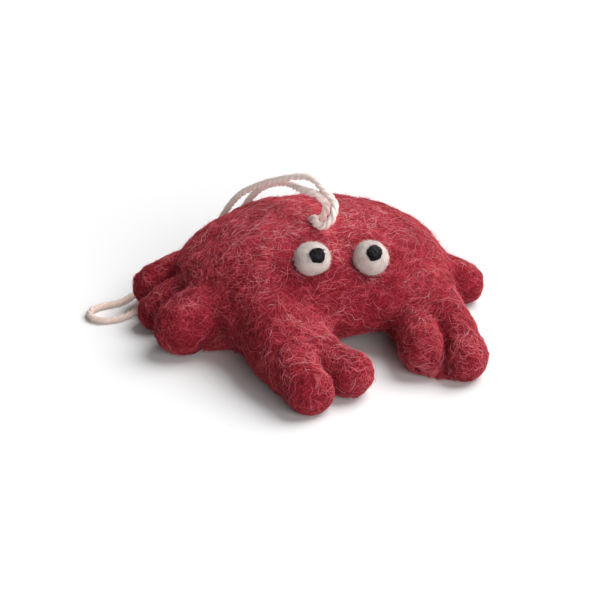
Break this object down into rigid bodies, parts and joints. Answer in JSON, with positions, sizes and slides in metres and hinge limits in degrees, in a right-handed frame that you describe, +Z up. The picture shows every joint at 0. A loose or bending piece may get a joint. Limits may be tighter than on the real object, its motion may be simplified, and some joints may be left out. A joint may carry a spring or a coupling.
{
  "type": "felt crab ornament",
  "caption": "Hand-felted wool crab with bulging eyes, stubby legs and open claws reaching forward, hung by a doubled loop of twine.",
  "frame": {"origin": "middle of the belly's flat, on the table", "axes": "+Z up, -Y out of the face between the claws, +X towards the crab's own left"},
  "size_m": [0.0968, 0.0872, 0.0368],
  "materials": {
    "red_felt": "matted crimson wool with loose paler fibres",
    "raw_wool": "undyed carded wool",
    "white_felt": "firm off-white wool felt",
    "black_bead": "rough black with a faint sheen",
    "twine": "soft plied cotton twine"
  },
  "bodies": {
    "root": {"body_cover": "red_felt", "body_core": "raw_wool", "right_claw_arm": "red_felt", "right_claw_thumb": "red_felt", "left_claw_arm": "red_felt", "left_claw_thumb": "red_felt", "right_front_leg": "red_felt", "right_middle_leg": "red_felt", "right_rear_leg": "red_felt", "left_front_leg": "red_felt", "left_middle_leg": "red_felt", "left_rear_leg": "red_felt", "right_eye": "white_felt", "left_eye": "white_felt", "right_pupil": "black_bead", "left_pupil": "black_bead", "hanging_cord": "twine", "cord_knot": "twine"}
  },
  "joints": []
}
